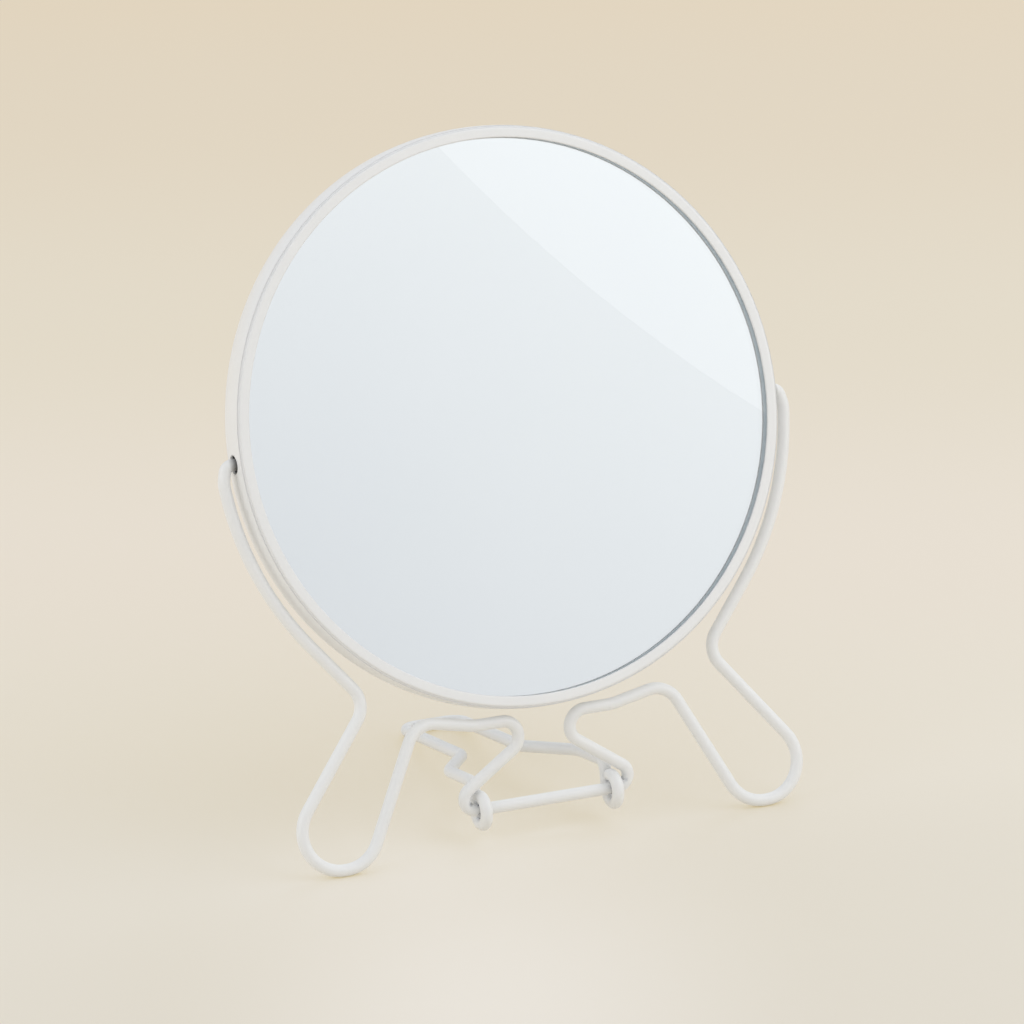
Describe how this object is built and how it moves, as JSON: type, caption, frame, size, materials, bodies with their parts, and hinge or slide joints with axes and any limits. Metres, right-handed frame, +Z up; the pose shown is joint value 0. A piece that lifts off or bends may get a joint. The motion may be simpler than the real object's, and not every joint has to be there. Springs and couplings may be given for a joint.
{
  "type": "tabletop makeup mirror",
  "caption": "Round double-sided makeup mirror that turns on the pins of a bent-wire stand, with a hinged wire rear leg.",
  "frame": {"origin": "middle of the base, on the table that the two feet and the rear leg stand on", "axes": "+Z up, -Y out of the front glass towards the user, +X to the user's right"},
  "size_m": [0.1808, 0.1008, 0.2006],
  "materials": {
    "wire_coat": "satin warm-white powder coat",
    "rim_coat": "satin warm-white powder coat",
    "splice_steel": "plain",
    "mirror_glass": "polished, silvered at the back",
    "spacer_board": "matt",
    "bush_nylon": "matt, black"
  },
  "bodies": {
    "stand": {"stand_frame": "wire_coat"},
    "mirror": {"rim": "rim_coat", "rim_splice": "splice_steel", "front_mirror": "mirror_glass", "rear_mirror": "mirror_glass", "spacer_ring": "spacer_board", "left_pivot_bush": "bush_nylon", "right_pivot_bush": "bush_nylon"},
    "leg": {"rear_leg": "wire_coat"}
  },
  "joints": [
    {"name": "mirror_tilt", "type": "hinge", "parent": "stand", "child": "mirror", "pos_m": [0, -0.01125, 0.11596], "axis": [1, 0, 0], "range_deg": [-170, 170]},
    {"name": "leg_fold", "type": "hinge", "parent": "stand", "child": "leg", "pos_m": [0, -0.04017, 0.00998], "axis": [1, 0, 0], "range_deg": [-98, 0]}
  ]
}
